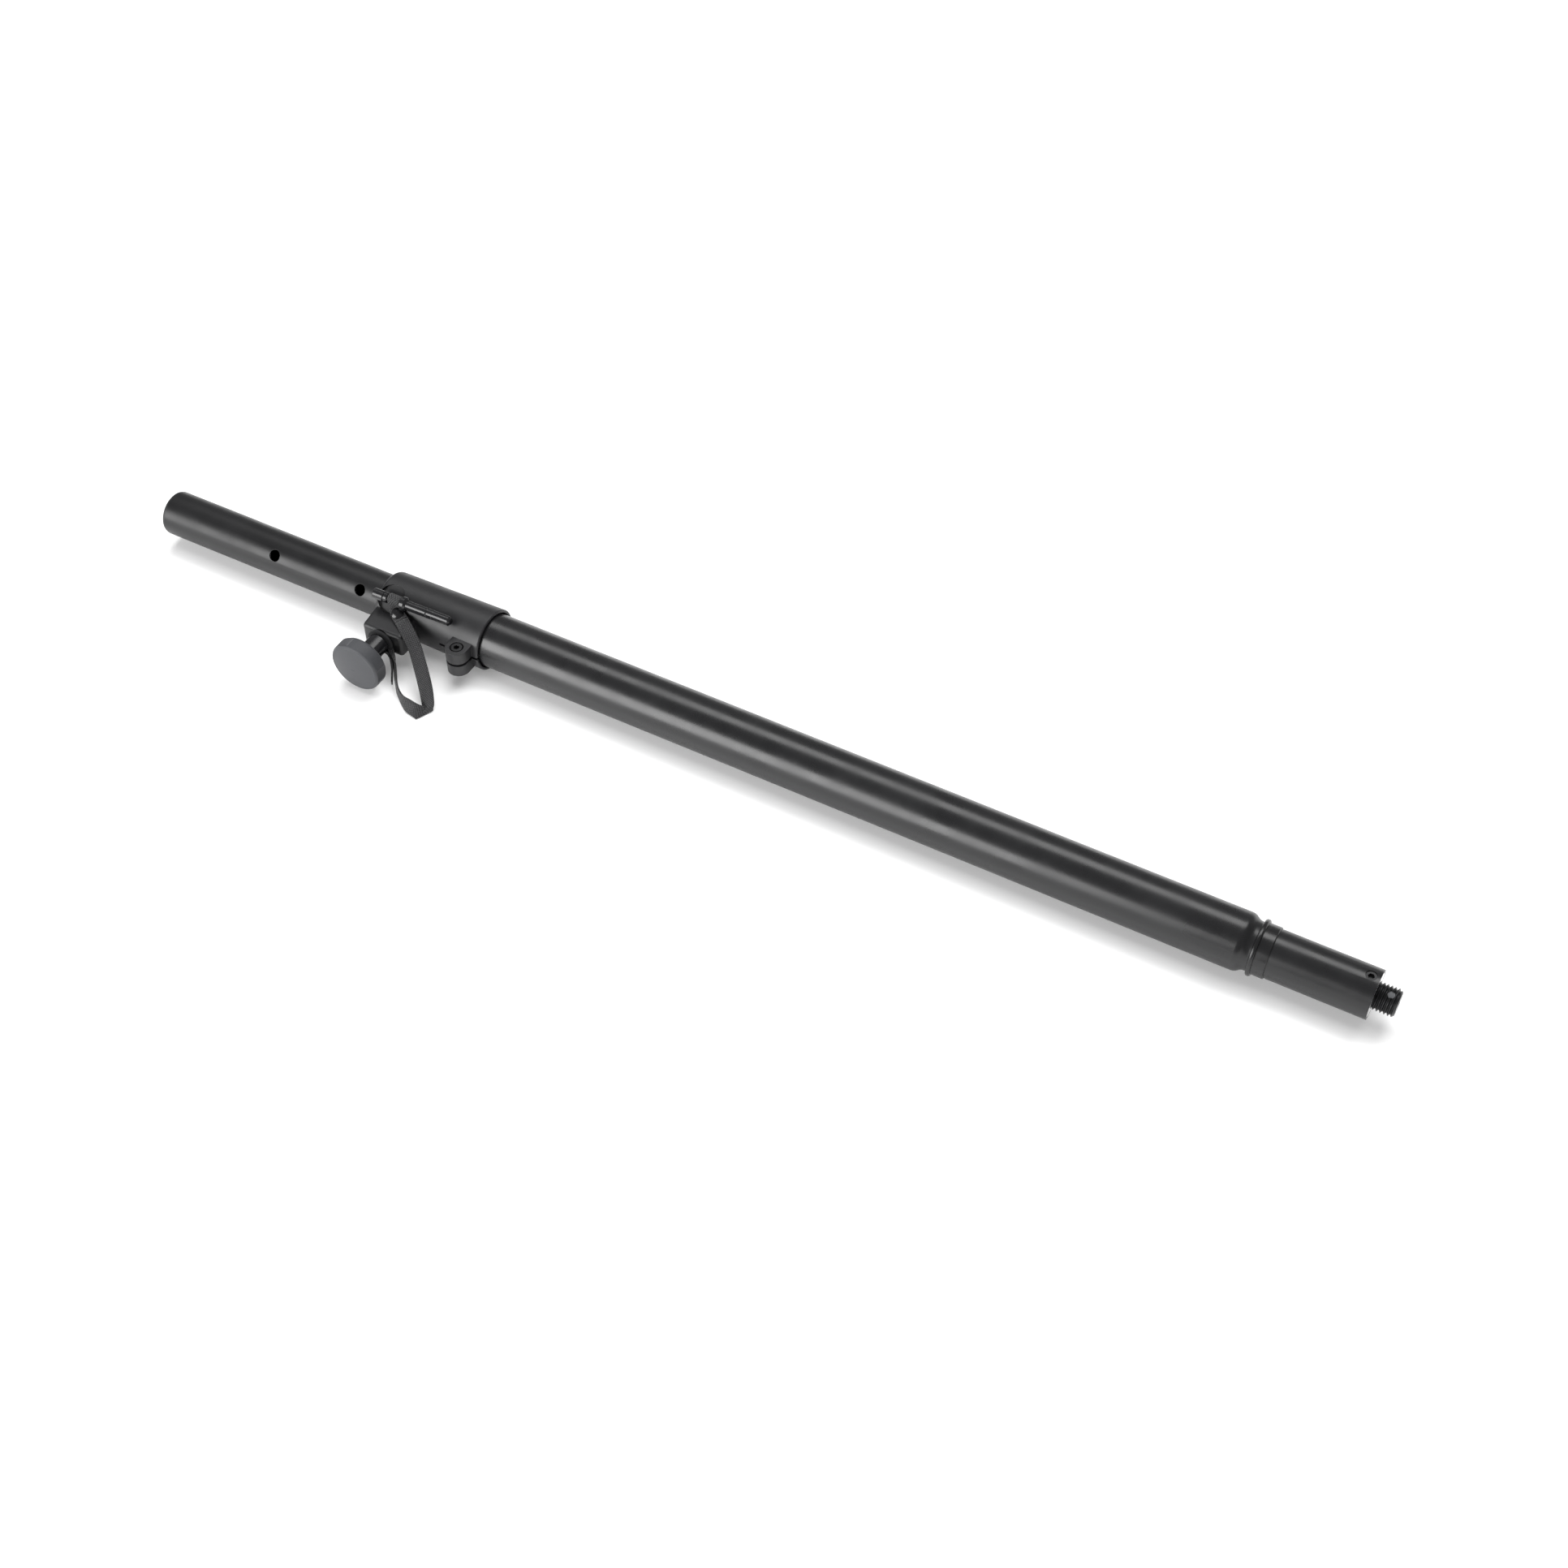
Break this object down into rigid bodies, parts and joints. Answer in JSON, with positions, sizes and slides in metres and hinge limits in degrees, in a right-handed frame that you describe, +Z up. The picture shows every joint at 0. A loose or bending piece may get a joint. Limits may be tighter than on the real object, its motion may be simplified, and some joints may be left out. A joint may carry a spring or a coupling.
{
  "type": "telescoping speaker pole",
  "caption": "Telescoping pole that carries a loudspeaker above a subwoofer: clamp collar with knob and tethered locking pin, threaded stud at the foot.",
  "frame": {"origin": "on the floor under the middle of the lying pole's box, bottom of the clamp collar at Z 0", "axes": "+X along the pole from the speaker end to the threaded stud, -Y towards the clamp knob, +Z up as it lies"},
  "size_m": [0.9984, 0.1028, 0.0515],
  "materials": {
    "upper_tube_paint": "satin black powder coat",
    "lower_tube_paint": "satin black powder coat",
    "flange_paint": "semi-gloss black",
    "collar_plastic": "fine matte, glass-filled nylon",
    "black_plastic": "matte",
    "knob_plastic": "soft matte slate grey",
    "knob_face_plastic": "soft matte slate grey",
    "hub_plastic": "glossy black",
    "liner_plastic": "low-friction nylon",
    "pin_steel": "glossy black",
    "zinc_steel": "zinc plated",
    "black_steel": "black oxide",
    "rivet_steel": "glossy black",
    "brass": "machined",
    "webbing": "coarse woven nylon",
    "pellet_nylon": "grey nylon",
    "pad_rubber": "matte"
  },
  "bodies": {
    "base": {"lower_tube": "lower_tube_paint", "flange_ring": "flange_paint", "threaded_plug": "zinc_steel", "plug_set_screws": "black_steel", "m20_stud": "black_steel", "thread_lock_pellet": "pellet_nylon", "clamp_collar": "collar_plastic", "collar_liner": "liner_plastic", "clamp_screw": "black_steel", "clamp_washer": "zinc_steel", "clamp_nut": "zinc_steel", "thread_insert": "brass", "stem_washer": "zinc_steel", "tether_strap": "webbing", "tether_stem_loop": "webbing"},
    "guide": {"guide_bushing": "liner_plastic"},
    "upper": {"upper_tube": "upper_tube_paint", "upper_end_cap": "black_plastic"},
    "shoe": {"pressure_shoe": "brass", "shoe_pad": "pad_rubber"},
    "knob": {"knob_screw": "black_steel", "knob_hub": "hub_plastic", "knob_insert": "brass", "knob_body": "knob_plastic", "knob_face": "knob_face_plastic"},
    "pin": {"pin_shaft": "pin_steel", "pin_head": "pin_steel", "pin_snap_ring": "pin_steel", "tether_pin_loop": "webbing", "tether_rivet_cap": "rivet_steel", "tether_rivet_post": "rivet_steel"}
  },
  "joints": [
    {"name": "telescope", "type": "slide", "parent": "base", "child": "guide", "axis": [-1, 0, 0], "range_m": [-0.09, 0.455]},
    {"name": "tube_swivel", "type": "hinge", "parent": "guide", "child": "upper", "pos_m": [0.2908, 0.0264, 0.0238], "axis": [1, 0, 0], "continuous": true},
    {"name": "shoe_release", "type": "slide", "parent": "base", "child": "shoe", "axis": [0, -1, 0], "range_m": [0, 0.003]},
    {"name": "knob_turn", "type": "hinge", "parent": "shoe", "child": "knob", "pos_m": [-0.2722, -0.0354, 0.0238], "axis": [0, -1, 0], "range_deg": [0, 720]},
    {"name": "pin_lift", "type": "slide", "parent": "base", "child": "pin", "axis": [0, -0.6494, 0.7604], "range_m": [0, 0.04]}
  ],
  "couplings": [
    {"joint": "knob_turn", "follows": "shoe_release", "rad_per_m": 4188.8}
  ]
}
